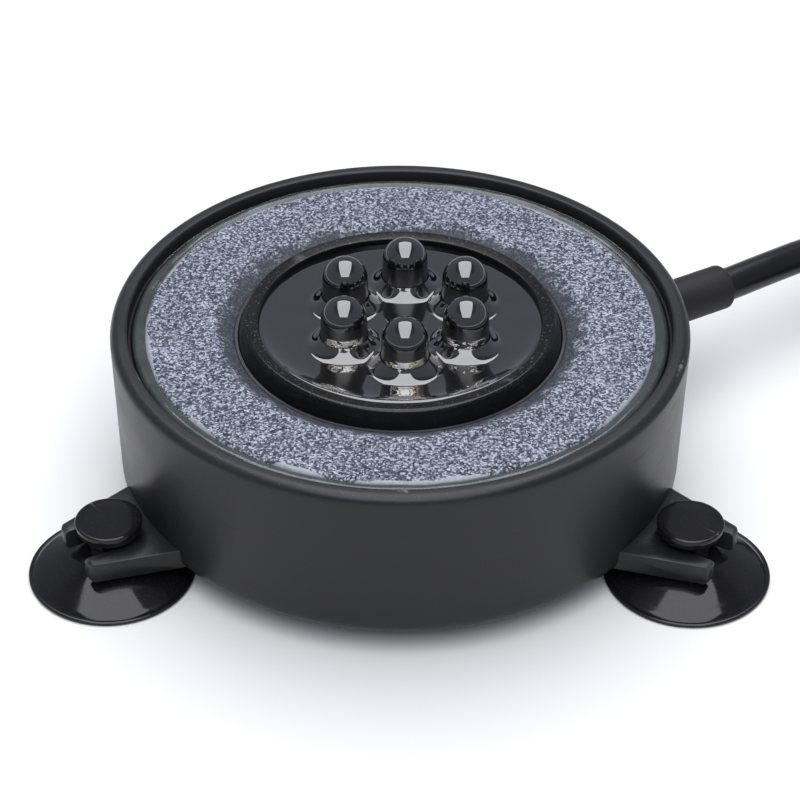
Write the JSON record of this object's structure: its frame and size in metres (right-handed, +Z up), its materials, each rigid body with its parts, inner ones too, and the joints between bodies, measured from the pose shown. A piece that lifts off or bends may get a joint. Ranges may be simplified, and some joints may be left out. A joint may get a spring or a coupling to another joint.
{
  "type": "aquarium gas diffuser",
  "caption": "Round submersible gas diffuser: porous stone ring in a dish on suction cups, with a potted lamp cluster and a coiled supply hose.",
  "frame": {"origin": "middle of the dish's flat underside; the suction cups' rims stand 3.6 mm below it", "axes": "+Z up through the middle of the dish; the hose leaves between +X and +Y, 30 degrees from +X"},
  "size_m": [0.2662, 0.1359, 0.0413],
  "materials": {
    "casing_plastic": "satin moulded black plastic",
    "porous_stone": "sintered grey grains",
    "clear_seal": "clear cast resin",
    "dark_seal": "black sealant",
    "lamp_cup_plastic": "gloss black",
    "board": "solder mask",
    "resistor": "lacquer",
    "solder": "bright solder",
    "potting_resin": "poured gloss black",
    "lens": "polished smoked epoxy",
    "lead_frame": "plated",
    "wire_red": "pvc",
    "wire_black": "pvc",
    "sleeve_rubber": "matte rubber",
    "hose": "satin hose",
    "tie": "moulded nylon",
    "fitting_plastic": "satin black",
    "lead": "satin",
    "plug_plastic": "moulded",
    "plug_metal": "plated",
    "contact_metal": "plated",
    "cup_rubber": "semi-gloss rubber"
  },
  "bodies": {
    "base": {"casing": "casing_plastic", "air_stone": "porous_stone", "outer_seal": "clear_seal", "inner_seal": "dark_seal", "lamp_cup": "lamp_cup_plastic", "led_board": "board", "led_lens_1": "lens", "led_lens_2": "lens", "led_lens_3": "lens", "led_lens_4": "lens", "led_lens_5": "lens", "led_lens_6": "lens", "led_frame_1": "lead_frame", "led_frame_2": "lead_frame", "led_frame_3": "lead_frame", "led_frame_4": "lead_frame", "led_frame_5": "lead_frame", "led_frame_6": "lead_frame", "resistors": "resistor", "solder_joints": "solder", "potting_resin": "potting_resin", "wire_red": "wire_red", "wire_black": "wire_black", "wire_seal": "dark_seal", "hose_sleeve": "sleeve_rubber", "hose_seal": "dark_seal", "supply_hose": "hose", "hose_coil": "hose", "hose_tail": "hose", "coil_ties": "tie", "tee_body": "fitting_plastic", "lead_gland": "fitting_plastic", "power_lead": "lead", "plug_grip": "plug_plastic", "plug_barrel": "plug_metal", "plug_insulator": "plug_plastic", "plug_contact": "contact_metal"},
    "cup_left": {"suction_cup_left": "cup_rubber"},
    "cup_right": {"suction_cup_right": "cup_rubber"},
    "cup_rear": {"suction_cup_rear": "cup_rubber"}
  },
  "joints": [
    {"name": "cup_left_slide", "type": "slide", "parent": "base", "child": "cup_left", "axis": [-0.866, -0.5, 0], "range_m": [0, 0.014]},
    {"name": "cup_right_slide", "type": "slide", "parent": "base", "child": "cup_right", "axis": [0.866, -0.5, 0], "range_m": [0, 0.014]},
    {"name": "cup_rear_slide", "type": "slide", "parent": "base", "child": "cup_rear", "axis": [0, 1, 0], "range_m": [0, 0.014]}
  ]
}
